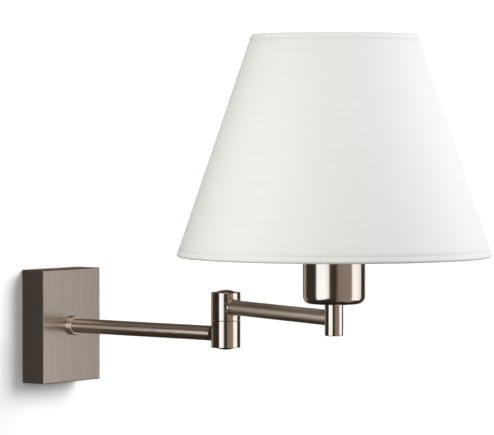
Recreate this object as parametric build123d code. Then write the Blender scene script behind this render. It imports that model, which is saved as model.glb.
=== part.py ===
from build123d import *
from math import asin, degrees, hypot, sqrt
import os

# Swing-arm wall lamp: wall box, fixed arm, elbow swivel, swinging arm, lampholder and fabric shade.
# Millimetres. The wall is the plane Y = 0 and the room lies towards -Y, with +Z up and +X to the right
# for someone who faces the wall. The origin is the centre of the wall box on the wall.

# Clearances that the whole lamp shares
THREAD_CLEARANCE = 0.04
SLIP_CLEARANCE = 0.10
RUNNING_CLEARANCE = 0.05
LOOSE_CLEARANCE = 0.30

# Wall box: a folded steel cover over a bracket on the wall
BOX_WIDTH = 75.0
BOX_HEIGHT = 100.0
BOX_DEPTH = 25.0
BOX_SHEET = 1.2
BOX_EDGE_RADIUS = 0.8
BRACKET_WIDTH = 62.0
BRACKET_SHEET = 2.0
BRACKET_CORNER_RADIUS = 4.0
BRACKET_TAB_WIDTH = 22.0
BRACKET_TAB_DEPTH = 14.0
CABLE_ENTRY_DIAMETER = 20.0
WALL_SLOT_SPACING = 40.0
WALL_SLOT_LENGTH = 11.0
WALL_SLOT_WIDTH = 5.0
COVER_SCREW_DIAMETER = 4.0
COVER_SCREW_LENGTH = 6.5
COVER_SCREW_KEY = 2.0

# Mains terminals on the bracket
POLE_COUNT = 3
POLE_PITCH = 10.5
POLE_WIDTH = 6.6
POLE_LENGTH = 17.0
POLE_DEPTH = 12.0
POLE_WEB = 3.0
POLE_CORNER_RADIUS = 1.6
POLE_WEB_LENGTH = 8.5
TERMINAL_GAP = 2.5
INSERT_DIAMETER = 5.0
INSERT_LENGTH = 13.0
INSERT_BORE = 3.0
CLAMP_SCREW_DIAMETER = 2.6
CLAMP_SCREW_LENGTH = 3.6
CLAMP_SCREW_PITCH = 7.0
FIXING_SCREW_DIAMETER = 2.0
FIXING_HEAD_DIAMETER = 3.4
FIXING_HEAD_HEIGHT = 1.4
EARTH_SCREW_DIAMETER = 4.0
EARTH_HEAD_DIAMETER = 7.0
EARTH_HEAD_HEIGHT = 2.4
EARTH_BOSS_HEIGHT = 3.0
EARTH_BOSS_WALL = 1.6
EARTH_WASHER = 0.8
EARTH_SLOT_WIDTH = 0.8
EARTH_FROM_SIDE = 10.0
EARTH_FROM_TOP = 20.0

# Arms
TUBE_DIAMETER = 12.7
TUBE_WALL = 1.35
FIXED_ARM_REACH = 175.0
SWING_ARM_LENGTH = 175.0
COLLAR_DIAMETER = 17.0
COLLAR_LENGTH = 5.0
COLLAR_CHAMFER = 0.7
NIPPLE_BORE = 7.0
NIPPLE_IN_ARM = 14.0
NIPPLE_SPARE = 1.5
ARM_WASHER_DIAMETER = 26.0
ARM_WASHER = 1.5
NUT_ACROSS_FLATS = 14.0
ARM_NUT_HEIGHT = 4.0

# Elbow swivel
KNUCKLE_DIAMETER = 25.0
LOWER_KNUCKLE_HEIGHT = 22.8
UPPER_KNUCKLE_HEIGHT = 23.8
KNUCKLE_WALL = 3.7
KNUCKLE_WEB = 5.0
KNUCKLE_EDGE = 0.5
ARM_FROM_CLOSED_END = 11.3
BOSS_DIAMETER = 14.0
BOSS_STANDS_OUT = 1.9
BOSS_EDGE = 0.4
CAP_DOME = 2.0
CAP_PLUG = 2.5
PIVOT_DIAMETER = 10.0
PIVOT_BORE = 6.0
PIVOT_SPARE = 0.5
PIVOT_NUT_HEIGHT = 3.0
FRICTION_WASHER = 0.55
SPRING_WASHER = 1.0
STOP_PIN_DIAMETER = 3.0
STOP_PIN_REACH = 2.5
STOP_PIN_ANGLE = 90.0
SWING_HALF_ANGLE = 110.0
REST_SWING_ANGLE = -21.5

# Post, cup and screwed joint of the head
POST_DIAMETER = 15.0
POST_BELOW_ARM = 14.0
POST_ABOVE_ARM = 11.7
POST_BORE = 9.0
POST_SOLID_END = 5.0
POST_EDGE = 0.5
CUP_DIAMETER = 50.0
CUP_HEIGHT = 52.0
CUP_WALL = 1.0
CUP_CORNER_RADIUS = 6.0
HEAD_NIPPLE_IN_POST = 4.2
CUP_WASHER_DIAMETER = 22.0
CUP_WASHER = 1.2
CUP_NUT_HEIGHT = 3.0

# Lampholder for an E27 screw cap
HOLDER_NECK_DIAMETER = 16.0
HOLDER_NECK_LENGTH = 8.0
HOLDER_BASE_DIAMETER = 37.0
HOLDER_BASE_HEIGHT = 22.0
HOLDER_BASE_WALL = 2.0
HOLDER_SHOULDER = 7.0
SKIRT_DIAMETER = 40.0
SKIRT_HEIGHT = 39.0
SKIRT_LAP = 6.0
SKIRT_WALL = 3.0
SKIRT_MOUTH_GAP = 0.6
SKIRT_LIP = 2.0
INSERT_FLANGE = 4.0
INSERT_FOOT_DIAMETER = 24.0
INSERT_FOOT = 5.0
INSERT_HEAD = 8.0
SHELL_BORE = 26.5
SHELL_WALL = 0.6
SHELL_LENGTH = 20.0
CONTACT_WELL_DIAMETER = 15.0
CONTACT_WELL = 4.5
CONTACT_WIDTH = 6.0
CONTACT_SHEET = 0.8
CONTACT_RISE = 3.0
HOLDER_SCREW_DIAMETER = 3.0
HOLDER_SCREW_LENGTH = 5.0

# Shade and what carries it
SHADE_BOTTOM_DIAMETER = 252.0
SHADE_TOP_DIAMETER = 134.0
SHADE_HEIGHT = 177.8
SHADE_DROP = 14.4
SHADE_WALL = 1.0
HEM_LAYERS = 0.6
HEM_CLEARANCE = 0.2
WIRE_DIAMETER = 2.2
SPOKE_COUNT = 3
FIRST_SPOKE_ANGLE = 90.0
CARRIER_HOLE = 42.0
CARRIER_RING_WIDTH = 6.0
CARRIER_SHEET = 1.5
RING_NUT_HEIGHT = 7.0
RING_NUT_FLANGE = 2.0
RING_NUT_FLANGE_DIAMETER = 50.0
RING_NUT_GRIP_DIAMETER = 47.0
RING_NUT_FLUTES = 16
RING_NUT_FLUTE_RADIUS = 2.0

# Inner flex
FLEX_DIAMETER = 4.0
FLEX_BEND = 6.0
FLEX_LOW = 1.4
FLEX_HIGH = 1.8

# Levels and places that follow from the sizes above
TUBE_RADIUS = TUBE_DIAMETER / 2
TUBE_BORE_RADIUS = TUBE_RADIUS - TUBE_WALL
NIPPLE_RADIUS = TUBE_BORE_RADIUS - THREAD_CLEARANCE
ELBOW_OUT = BOX_DEPTH + FIXED_ARM_REACH
KNUCKLE_RADIUS = KNUCKLE_DIAMETER / 2
CAVITY_RADIUS = KNUCKLE_RADIUS - KNUCKLE_WALL
PIVOT_RADIUS = PIVOT_DIAMETER / 2
BOSS_END = KNUCKLE_RADIUS + BOSS_STANDS_OUT
LOWER_TOP = ARM_FROM_CLOSED_END
LOWER_ROOF = LOWER_TOP - KNUCKLE_WEB
UPPER_BOTTOM = LOWER_TOP + FRICTION_WASHER + RUNNING_CLEARANCE
UPPER_FLOOR = UPPER_BOTTOM + KNUCKLE_WEB
UPPER_TOP = UPPER_BOTTOM + UPPER_KNUCKLE_HEIGHT
SWING_AXIS_Z = UPPER_BOTTOM + ARM_FROM_CLOSED_END
SPRING_BOTTOM = UPPER_FLOOR + RUNNING_CLEARANCE
UPPER_NUT_BOTTOM = SPRING_BOTTOM + SPRING_WASHER
PIVOT_BOTTOM = LOWER_ROOF - PIVOT_NUT_HEIGHT - PIVOT_SPARE
PIVOT_TOP = UPPER_NUT_BOTTOM + PIVOT_NUT_HEIGHT + PIVOT_SPARE
STOP_RADIUS = (PIVOT_RADIUS + RUNNING_CLEARANCE + KNUCKLE_RADIUS) / 2
FLEX_SPLIT_Z = (LOWER_TOP + UPPER_BOTTOM) / 2
POST_BOTTOM = SWING_AXIS_Z - POST_BELOW_ARM
POST_TOP = SWING_AXIS_Z + POST_ABOVE_ARM
CUP_TOP = POST_TOP + CUP_HEIGHT
CUP_WASHER_BOTTOM = POST_TOP + CUP_WALL
CUP_NUT_BOTTOM = CUP_WASHER_BOTTOM + CUP_WASHER
HOLDER_BOTTOM = CUP_NUT_BOTTOM + CUP_NUT_HEIGHT
HOLDER_BASE_TOP = HOLDER_BOTTOM + HOLDER_BASE_HEIGHT
SKIRT_BOTTOM = HOLDER_BASE_TOP - SKIRT_LAP
SKIRT_SHOULDER = HOLDER_BASE_TOP + INSERT_FLANGE
SKIRT_TOP = SKIRT_BOTTOM + SKIRT_HEIGHT
INSERT_TOP = SKIRT_SHOULDER + INSERT_HEAD
INSERT_BOTTOM = HOLDER_BASE_TOP - INSERT_FOOT
CARRIER_TOP = CUP_TOP + CARRIER_SHEET
CARRIER_RADIUS = CARRIER_HOLE / 2 + CARRIER_RING_WIDTH
WIRE_RADIUS = WIRE_DIAMETER / 2
HEM_BORE_RADIUS = WIRE_RADIUS + HEM_CLEARANCE
HEM_RADIUS = HEM_BORE_RADIUS + HEM_LAYERS
BOTTOM_WIRE_RADIUS = SHADE_BOTTOM_DIAMETER / 2 - HEM_RADIUS
TOP_WIRE_RADIUS = SHADE_TOP_DIAMETER / 2 - HEM_RADIUS
SHADE_BOTTOM = CUP_TOP - SHADE_DROP
SHADE_TOP = SHADE_BOTTOM + SHADE_HEIGHT
BOTTOM_WIRE_Z = SHADE_BOTTOM + HEM_RADIUS
TOP_WIRE_Z = SHADE_TOP - HEM_RADIUS
COVER_INSIDE = -(BOX_DEPTH - BOX_SHEET)
ARM_NUT_OUT = COVER_INSIDE + ARM_WASHER
POLE_MIDDLE = -(BRACKET_SHEET + POLE_DEPTH / 2)
POLE_FRONT = -(BRACKET_SHEET + POLE_DEPTH)
TAB_OUTSIDE = BOX_HEIGHT / 2 - BOX_SHEET - LOOSE_CLEARANCE
COVER_SCREW_OUT = -BRACKET_TAB_DEPTH / 2
TERMINAL_DROP = BOX_HEIGHT / 2 - COVER_SCREW_LENGTH - TERMINAL_GAP - POLE_LENGTH / 2
EARTH_SIDE = BRACKET_WIDTH / 2 - EARTH_FROM_SIDE
EARTH_RISE = BOX_HEIGHT / 2 - EARTH_FROM_TOP


def rod(radius, start, end):
    """Round bar from one point to another."""
    along = Vector(*end) - Vector(*start)
    return extrude(Plane(origin=start, z_dir=along) * Circle(radius), along.length)


def disc(radius, bottom, top):
    """Round bar along Z between two levels."""
    return rod(radius, (0, 0, bottom), (0, 0, top))


def ring(outer, inner, bottom, top):
    """Plain ring about Z between two levels."""
    return disc(outer, bottom, top) - disc(inner, bottom, top)


def hex_nut(height, hole):
    """Hexagon nut that stands on Z = 0."""
    corner_radius = NUT_ACROSS_FLATS / sqrt(3)
    blank = extrude(RegularPolygon(corner_radius, 6), height)
    return blank - disc(hole, 0, height)


def turned(outline):
    """Solid of revolution about Z from a closed outline of radius and height."""
    return revolve(Plane.XZ * make_face(outline), Axis.Z)


def about(angle, part):
    """Turn a part about Z."""
    return Rot(0, 0, angle) * part


def at_elbow(part):
    """Place a fixed piece that was drawn about the elbow's axis."""
    return Pos(0, -ELBOW_OUT, 0) * part


def on_swing_arm(part):
    """Place a piece of the swinging arm, drawn with the arm straight out from the elbow's axis."""
    return at_elbow(about(REST_SWING_ANGLE, part))


def on_head(part):
    """Place a piece that was drawn about the upright axis of the post."""
    return on_swing_arm(Pos(0, -SWING_ARM_LENGTH, 0) * part)


def facing_room(out, part):
    """Stand a part that was drawn along Z on the plane Y = out, pointing to the room."""
    return Plane(origin=(0, out, 0), x_dir=(1, 0, 0), z_dir=(0, -1, 0)) * part


def wall_bracket():
    """Bent plate on the wall: slots for the wall screws, cable entry, tabs for the cover, earth boss."""
    base = Rectangle(BRACKET_WIDTH, 2 * TAB_OUTSIDE)
    base = fillet(base.vertices(), BRACKET_CORNER_RADIUS)
    base -= Circle(CABLE_ENTRY_DIAMETER / 2)
    slot = SlotOverall(WALL_SLOT_LENGTH, WALL_SLOT_WIDTH)
    base -= [Pos(side * WALL_SLOT_SPACING / 2, 0) * slot for side in (-1, 1)]
    plate = facing_room(0, extrude(base, BRACKET_SHEET))
    tab = Pos(0, -BRACKET_TAB_DEPTH / 2, TAB_OUTSIDE - BRACKET_SHEET / 2) * Box(
        BRACKET_TAB_WIDTH, BRACKET_TAB_DEPTH, BRACKET_SHEET
    )
    plate += [tab, mirror(tab, Plane.XY)]
    boss_radius = EARTH_SCREW_DIAMETER / 2 + EARTH_BOSS_WALL
    boss = facing_room(0, disc(boss_radius, BRACKET_SHEET, BRACKET_SHEET + EARTH_BOSS_HEIGHT))
    plate += Pos(EARTH_SIDE, 0, EARTH_RISE) * boss
    tapped = EARTH_SCREW_DIAMETER / 2 + THREAD_CLEARANCE
    earth_hole = facing_room(0, disc(tapped, 0, BRACKET_SHEET + EARTH_BOSS_HEIGHT))
    plate -= Pos(EARTH_SIDE, 0, EARTH_RISE) * earth_hole
    plate -= [fixing_screw_shank(side, THREAD_CLEARANCE) for side in (-1, 1)]
    return plate - cover_screw_bar(THREAD_CLEARANCE)


def cover_screw_bar(clearance):
    """Bar through both cover screws, for their holes."""
    reach = BOX_HEIGHT / 2
    radius = COVER_SCREW_DIAMETER / 2 + clearance
    inner_end = reach - COVER_SCREW_LENGTH
    upper = rod(radius, (0, COVER_SCREW_OUT, inner_end), (0, COVER_SCREW_OUT, reach))
    return Part() + [upper, mirror(upper, Plane.XY)]


def wall_cover():
    """Folded box, open to the wall, with rounded front edges and the hole for the arm's nipple."""
    block = Pos(0, -BOX_DEPTH / 2, 0) * Box(BOX_WIDTH, BOX_DEPTH, BOX_HEIGHT)
    room_side = block.faces().sort_by(Axis.Y)[0]
    corners = block.edges().filter_by(Axis.Y)
    block = fillet(room_side.edges() + corners, BOX_EDGE_RADIUS)
    inner_depth = BOX_DEPTH - BOX_SHEET
    inner = Box(BOX_WIDTH - 2 * BOX_SHEET, inner_depth, BOX_HEIGHT - 2 * BOX_SHEET)
    shell = block - Pos(0, -inner_depth / 2, 0) * inner
    shell -= facing_room(0, disc(NIPPLE_RADIUS + SLIP_CLEARANCE, 0, BOX_DEPTH))
    return shell - cover_screw_bar(SLIP_CLEARANCE)


def cover_screws():
    """Grub screws, flush with the top and bottom of the cover, with a hexagon socket."""
    screw = disc(COVER_SCREW_DIAMETER / 2, 0, COVER_SCREW_LENGTH)
    key = extrude(RegularPolygon(COVER_SCREW_KEY / sqrt(3), 6), COVER_SCREW_KEY)
    screw -= Pos(0, 0, COVER_SCREW_LENGTH - COVER_SCREW_KEY) * key
    upper = Pos(0, COVER_SCREW_OUT, BOX_HEIGHT / 2 - COVER_SCREW_LENGTH) * screw
    return Part() + [upper, mirror(upper, Plane.XY)]


def pole_places():
    """Sideways place of each pole of the terminal block."""
    first = -POLE_PITCH * (POLE_COUNT - 1) / 2
    return [first + POLE_PITCH * pole for pole in range(POLE_COUNT)]


def clamp_screw_bar(side, radius):
    """Bar of one clamp screw of the middle pole, from the front of the block into the wire bore."""
    level = -TERMINAL_DROP + side * CLAMP_SCREW_PITCH / 2
    return rod(radius, (0, POLE_FRONT, level), (0, POLE_MIDDLE, level))


def fixing_screw_shank(side, clearance):
    """Shank of a screw that holds the terminal block on the bracket, between two poles."""
    radius = FIXING_SCREW_DIAMETER / 2 + clearance
    web_front = -(BRACKET_SHEET + POLE_WEB)
    place = side * POLE_PITCH / 2
    return rod(radius, (place, web_front, -TERMINAL_DROP), (place, 0, -TERMINAL_DROP))


def terminal_block():
    """Moulded block with one rounded housing a pole, thin webs between them and screw wells."""
    housing = Rectangle(POLE_WIDTH, POLE_DEPTH)
    front_corners = housing.vertices().group_by(Axis.Y)[-1]
    housing = fillet(front_corners, POLE_CORNER_RADIUS)
    pole = Pos(0, POLE_MIDDLE, -TERMINAL_DROP - POLE_LENGTH / 2) * extrude(
        mirror(housing, Plane.XZ), POLE_LENGTH
    )
    pole -= terminal_bore(INSERT_DIAMETER / 2 + SLIP_CLEARANCE, INSERT_LENGTH)
    pole -= terminal_bore(INSERT_BORE / 2, POLE_LENGTH)
    well = CLAMP_SCREW_DIAMETER / 2 + SLIP_CLEARANCE
    pole -= [clamp_screw_bar(side, well) for side in (-1, 1)]
    web_width = POLE_PITCH * (POLE_COUNT - 1)
    web = Pos(0, -BRACKET_SHEET - POLE_WEB / 2, -TERMINAL_DROP) * Box(web_width, POLE_WEB, POLE_WEB_LENGTH)
    web -= [Pos(place, 0, 0) * pole_hull() for place in pole_places()]
    block = web + [Pos(place, 0, 0) * pole for place in pole_places()]
    return block - [fixing_screw_shank(side, SLIP_CLEARANCE) for side in (-1, 1)]


def pole_hull():
    """Plain block round one pole."""
    return Pos(0, POLE_MIDDLE, -TERMINAL_DROP) * Box(POLE_WIDTH, POLE_DEPTH, POLE_LENGTH)


def terminal_bore(radius, length):
    """Upright bar through the middle pole."""
    low = -TERMINAL_DROP - length / 2
    return rod(radius, (0, POLE_MIDDLE, low), (0, POLE_MIDDLE, low + length))


def terminal_inserts():
    """Brass tubes, one a pole, tapped for two clamp screws each."""
    insert = terminal_bore(INSERT_DIAMETER / 2, INSERT_LENGTH)
    insert -= terminal_bore(INSERT_BORE / 2, INSERT_LENGTH)
    tapped = CLAMP_SCREW_DIAMETER / 2 + THREAD_CLEARANCE
    insert -= [clamp_screw_bar(side, tapped) for side in (-1, 1)]
    return Part() + [Pos(place, 0, 0) * insert for place in pole_places()]


def terminal_screws():
    """Clamp screws of the terminals, two a pole, backed out to the edge of the wire bore."""
    tip = POLE_MIDDLE - INSERT_BORE / 2
    head = tip - CLAMP_SCREW_LENGTH
    screws = []
    for place in pole_places():
        for side in (-1, 1):
            level = -TERMINAL_DROP + side * CLAMP_SCREW_PITCH / 2
            screws.append(rod(CLAMP_SCREW_DIAMETER / 2, (place, head, level), (place, tip, level)))
    return Part() + screws


def terminal_fixing_screws():
    """Screws between the poles that hold the block on the bracket."""
    web_front = -(BRACKET_SHEET + POLE_WEB)
    screws = []
    for side in (-1, 1):
        place = side * POLE_PITCH / 2
        seat = (place, web_front, -TERMINAL_DROP)
        head_top = (place, web_front - FIXING_HEAD_HEIGHT, -TERMINAL_DROP)
        tip = (place, -LOOSE_CLEARANCE, -TERMINAL_DROP)
        shank = rod(FIXING_SCREW_DIAMETER / 2, seat, tip)
        screws.append(shank + rod(FIXING_HEAD_DIAMETER / 2, head_top, seat))
    return Part() + screws


def on_earth_boss(part):
    """Place a part that was drawn along Z with the front of the earth boss at Z = 0."""
    boss_front = -(BRACKET_SHEET + EARTH_BOSS_HEIGHT)
    return Pos(EARTH_SIDE, 0, EARTH_RISE) * facing_room(boss_front, part)


def earth_washer():
    """Washer that clamps the earth wire."""
    outer = EARTH_HEAD_DIAMETER / 2 + LOOSE_CLEARANCE
    return on_earth_boss(ring(outer, EARTH_SCREW_DIAMETER / 2 + SLIP_CLEARANCE, 0, EARTH_WASHER))


def earth_screw():
    """Cheese-head earth screw in the boss of the bracket."""
    depth = BRACKET_SHEET + EARTH_BOSS_HEIGHT - LOOSE_CLEARANCE
    screw = disc(EARTH_SCREW_DIAMETER / 2, -depth, EARTH_WASHER)
    screw += disc(EARTH_HEAD_DIAMETER / 2, EARTH_WASHER, EARTH_WASHER + EARTH_HEAD_HEIGHT)
    slot_depth = EARTH_HEAD_HEIGHT / 2
    slot = Box(EARTH_HEAD_DIAMETER, EARTH_SLOT_WIDTH, slot_depth)
    return on_earth_boss(screw - Pos(0, 0, EARTH_WASHER + EARTH_HEAD_HEIGHT - slot_depth / 2) * slot)


def arm_nipple():
    """Hollow screwed rod that ties the fixed arm to the cover."""
    inner_end = ARM_NUT_OUT + ARM_NUT_HEIGHT + NIPPLE_SPARE
    outer_end = -(BOX_DEPTH + NIPPLE_IN_ARM)
    bar = rod(NIPPLE_RADIUS, (0, outer_end, 0), (0, inner_end, 0))
    return bar - rod(NIPPLE_BORE / 2, (0, outer_end, 0), (0, inner_end, 0))


def arm_washer():
    """Wide washer behind the front of the cover."""
    washer = ring(ARM_WASHER_DIAMETER / 2, NIPPLE_RADIUS + SLIP_CLEARANCE, 0, ARM_WASHER)
    return facing_room(ARM_NUT_OUT, washer)


def arm_nut():
    """Nut that draws the fixed arm against the cover."""
    nut = hex_nut(ARM_NUT_HEIGHT, NIPPLE_RADIUS + THREAD_CLEARANCE)
    return facing_room(ARM_NUT_OUT + ARM_NUT_HEIGHT, nut)


def arm_collar():
    """Ring round the foot of the fixed arm, with a chamfered front rim."""
    collar = disc(COLLAR_DIAMETER / 2, 0, COLLAR_LENGTH)
    front_rim = collar.edges().filter_by(GeomType.CIRCLE).sort_by(Axis.Z)[-1]
    collar = chamfer(front_rim, COLLAR_CHAMFER)
    collar -= disc(TUBE_RADIUS + SLIP_CLEARANCE, 0, COLLAR_LENGTH)
    return facing_room(-BOX_DEPTH, collar)


def arm_tube(start, end, level):
    """Arm tube between two distances along -Y."""
    outside = rod(TUBE_RADIUS, (0, -start, level), (0, -end, level))
    return outside - rod(TUBE_BORE_RADIUS, (0, -start, level), (0, -end, level))


def tube_seat():
    """Distance from the elbow's axis at which an arm's tube ends in its knuckle."""
    return CAVITY_RADIUS + SLIP_CLEARANCE


def fixed_arm_tube():
    """First arm, square to the wall."""
    return arm_tube(BOX_DEPTH, ELBOW_OUT - tube_seat(), 0)


def knuckle_blank(height):
    """Turned barrel about Z, closed at Z = 0 and hollow above, with a bored boss for the arm along -Y."""
    barrel = disc(KNUCKLE_RADIUS, 0, height)
    open_rim = barrel.edges().filter_by(GeomType.CIRCLE).sort_by(Axis.Z)[-1]
    barrel = chamfer(open_rim, KNUCKLE_EDGE)
    level = ARM_FROM_CLOSED_END
    seat = (0, -tube_seat(), level)
    boss_end = (0, -BOSS_END, level)
    boss = rod(BOSS_DIAMETER / 2, seat, boss_end)
    outer_rim = boss.edges().filter_by(GeomType.CIRCLE).sort_by(Axis.Y)[0]
    barrel += chamfer(outer_rim, BOSS_EDGE)
    barrel -= disc(CAVITY_RADIUS, KNUCKLE_WEB, height)
    barrel -= rod(TUBE_BORE_RADIUS, (0, 0, level), boss_end)
    return barrel - rod(TUBE_RADIUS + THREAD_CLEARANCE, seat, boss_end)


def lower_knuckle():
    """Fixed barrel of the elbow: it hangs open end down from the pivot and takes the fixed arm."""
    barrel = knuckle_blank(LOWER_KNUCKLE_HEIGHT)
    barrel -= disc(PIVOT_RADIUS + THREAD_CLEARANCE, 0, KNUCKLE_WEB)
    barrel = Pos(0, 0, LOWER_TOP) * Rot(180, 0, 0) * barrel
    pin_hole = disc(STOP_PIN_DIAMETER / 2 + THREAD_CLEARANCE, LOWER_ROOF, LOWER_TOP)
    return at_elbow(barrel - at_stop(pin_hole))


def at_stop(part):
    """Move a part from the elbow's axis to the stop pin's place."""
    return about(STOP_PIN_ANGLE, Pos(STOP_RADIUS, 0, 0) * part)


def stop_pin():
    """Pin in the lower knuckle that runs in the groove of the upper one and ends the swing."""
    pin = disc(STOP_PIN_DIAMETER / 2, LOWER_ROOF + LOOSE_CLEARANCE, UPPER_BOTTOM + STOP_PIN_REACH)
    return at_elbow(at_stop(pin))


def stop_groove():
    """Arc groove under the upper knuckle, long enough for the whole swing and the pin's own width."""
    half_width = STOP_PIN_DIAMETER / 2 + LOOSE_CLEARANCE
    pin_share = degrees(asin(half_width / STOP_RADIUS))
    half_arc = SWING_HALF_ANGLE + pin_share
    depth = STOP_PIN_REACH + LOOSE_CLEARANCE
    start = STOP_PIN_ANGLE - half_arc
    outer = STOP_RADIUS + half_width
    inner = STOP_RADIUS - half_width
    sides = [
        CenterArc((0, 0), outer, start, 2 * half_arc),
        CenterArc((0, 0), inner, start, 2 * half_arc),
    ]
    ends = [Line(sides[0] @ end, sides[1] @ end) for end in (0, 1)]
    return Pos(0, 0, UPPER_BOTTOM) * extrude(make_face(sides + ends), depth)


def upper_knuckle():
    """Turning barrel of the elbow: open end up, with the pivot's bore and the stop groove below."""
    barrel = Pos(0, 0, UPPER_BOTTOM) * knuckle_blank(UPPER_KNUCKLE_HEIGHT)
    barrel -= disc(PIVOT_RADIUS + RUNNING_CLEARANCE, UPPER_BOTTOM, UPPER_FLOOR)
    return on_swing_arm(barrel - stop_groove())


def knuckle_cap():
    """Plug with a domed face, drawn with the mouth of the knuckle at Z = 0."""
    radius = CAVITY_RADIUS - THREAD_CLEARANCE
    dome = ThreePointArc((-radius, 0), (0, CAP_DOME), (radius, 0))
    half_dome = make_face([dome, Line((-radius, 0), (radius, 0))])
    half_dome &= Pos(radius / 2, CAP_DOME / 2) * Rectangle(radius, CAP_DOME)
    return revolve(Plane.XZ * half_dome, Axis.Z) + disc(radius, -CAP_PLUG, 0)


def lower_knuckle_cap():
    """Domed plug under the elbow."""
    return at_elbow(Pos(0, 0, LOWER_TOP - LOWER_KNUCKLE_HEIGHT) * Rot(180, 0, 0) * knuckle_cap())


def upper_knuckle_cap():
    """Domed plug on top of the elbow."""
    return on_swing_arm(Pos(0, 0, UPPER_TOP) * knuckle_cap())


def pivot_tube():
    """Hollow pivot, screwed into the lower knuckle, that lets the flex through."""
    return at_elbow(ring(PIVOT_RADIUS, PIVOT_BORE / 2, PIVOT_BOTTOM, PIVOT_TOP))


def pivot_lower_nut():
    """Lock nut of the pivot in the lower knuckle."""
    nut = hex_nut(PIVOT_NUT_HEIGHT, PIVOT_RADIUS + THREAD_CLEARANCE)
    return at_elbow(Pos(0, 0, LOWER_ROOF - PIVOT_NUT_HEIGHT) * nut)


def pivot_upper_nut():
    """Nut that sets how stiffly the elbow turns."""
    nut = hex_nut(PIVOT_NUT_HEIGHT, PIVOT_RADIUS + THREAD_CLEARANCE)
    return at_elbow(Pos(0, 0, UPPER_NUT_BOTTOM) * nut)


def friction_washer():
    """Plastic washer between the knuckles, inside the circle of the stop pin."""
    outer = STOP_RADIUS - STOP_PIN_DIAMETER / 2 - LOOSE_CLEARANCE
    washer = ring(outer, PIVOT_RADIUS + SLIP_CLEARANCE, LOWER_TOP, LOWER_TOP + FRICTION_WASHER)
    return at_elbow(washer)


def spring_washer():
    """Dished washer that keeps the swivel tight, drawn flattened under its nut."""
    outer = CAVITY_RADIUS - 2 * LOOSE_CLEARANCE
    inner = PIVOT_RADIUS + SLIP_CLEARANCE
    sheet = SPRING_WASHER / 2
    outline = Polyline(
        (inner, SPRING_BOTTOM + sheet),
        (inner, SPRING_BOTTOM + SPRING_WASHER),
        (outer, SPRING_BOTTOM + sheet),
        (outer, SPRING_BOTTOM),
        close=True,
    )
    return at_elbow(turned(outline))


def flex(points):
    """Round inner flex along straight runs joined by bends."""
    path = FilletPolyline(*points, radius=FLEX_BEND)
    section = Plane(origin=path @ 0, z_dir=path % 0) * Circle(FLEX_DIAMETER / 2)
    return sweep(section, path)


def fixed_arm_cable():
    """Flex from the terminal block through the fixed arm and up into the pivot."""
    block_top = -TERMINAL_DROP + POLE_LENGTH / 2
    points = [
        (0, POLE_MIDDLE, block_top),
        (0, POLE_MIDDLE, -FLEX_LOW),
        (0, -ELBOW_OUT, -FLEX_LOW),
        (0, -ELBOW_OUT, FLEX_SPLIT_Z),
    ]
    return flex(points)


def swing_arm_tube():
    """Second arm, from the upper knuckle to the post."""
    return on_swing_arm(arm_tube(tube_seat(), SWING_ARM_LENGTH - post_seat(), SWING_AXIS_Z))


def post_seat():
    """Distance from the post's axis at which the second arm's tube ends in the post."""
    return POST_BORE / 2 - TUBE_WALL


def head_post():
    """Upright post: blind bore for the flex, tapped top for the nipple, side hole for the arm."""
    post = disc(POST_DIAMETER / 2, POST_BOTTOM, POST_TOP)
    post = chamfer(post.edges().filter_by(GeomType.CIRCLE), POST_EDGE)
    post -= disc(POST_BORE / 2, POST_BOTTOM + POST_SOLID_END, POST_TOP)
    post -= disc(NIPPLE_RADIUS + THREAD_CLEARANCE, POST_TOP - HEAD_NIPPLE_IN_POST, POST_TOP)
    socket = TUBE_RADIUS + THREAD_CLEARANCE
    post -= rod(socket, (0, post_seat(), SWING_AXIS_Z), (0, POST_DIAMETER, SWING_AXIS_Z))
    return on_head(post)


def head_nipple():
    """Hollow screwed rod through the post's top, the cup's floor and the lampholder's neck."""
    top = HOLDER_BOTTOM + HOLDER_NECK_LENGTH
    return on_head(ring(NIPPLE_RADIUS, NIPPLE_BORE / 2, POST_TOP - HEAD_NIPPLE_IN_POST, top))


def holder_cup():
    """Spun cup with a rounded bottom edge and an open top."""
    outside = disc(CUP_DIAMETER / 2, POST_TOP, CUP_TOP)
    lower_rim = outside.edges().filter_by(GeomType.CIRCLE).sort_by(Axis.Z)[0]
    outside = fillet(lower_rim, CUP_CORNER_RADIUS)
    inside = disc(CUP_DIAMETER / 2 - CUP_WALL, POST_TOP + CUP_WALL, CUP_TOP)
    inner_rim = inside.edges().filter_by(GeomType.CIRCLE).sort_by(Axis.Z)[0]
    inside = fillet(inner_rim, CUP_CORNER_RADIUS - CUP_WALL)
    return on_head(outside - inside - disc(NIPPLE_RADIUS + SLIP_CLEARANCE, POST_TOP, CUP_TOP))


def cup_washer():
    """Washer on the floor of the cup."""
    hole = NIPPLE_RADIUS + SLIP_CLEARANCE
    return on_head(ring(CUP_WASHER_DIAMETER / 2, hole, CUP_WASHER_BOTTOM, CUP_NUT_BOTTOM))


def cup_nut():
    """Nut that clamps the cup on the post."""
    return on_head(Pos(0, 0, CUP_NUT_BOTTOM) * hex_nut(CUP_NUT_HEIGHT, NIPPLE_RADIUS + THREAD_CLEARANCE))


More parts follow.
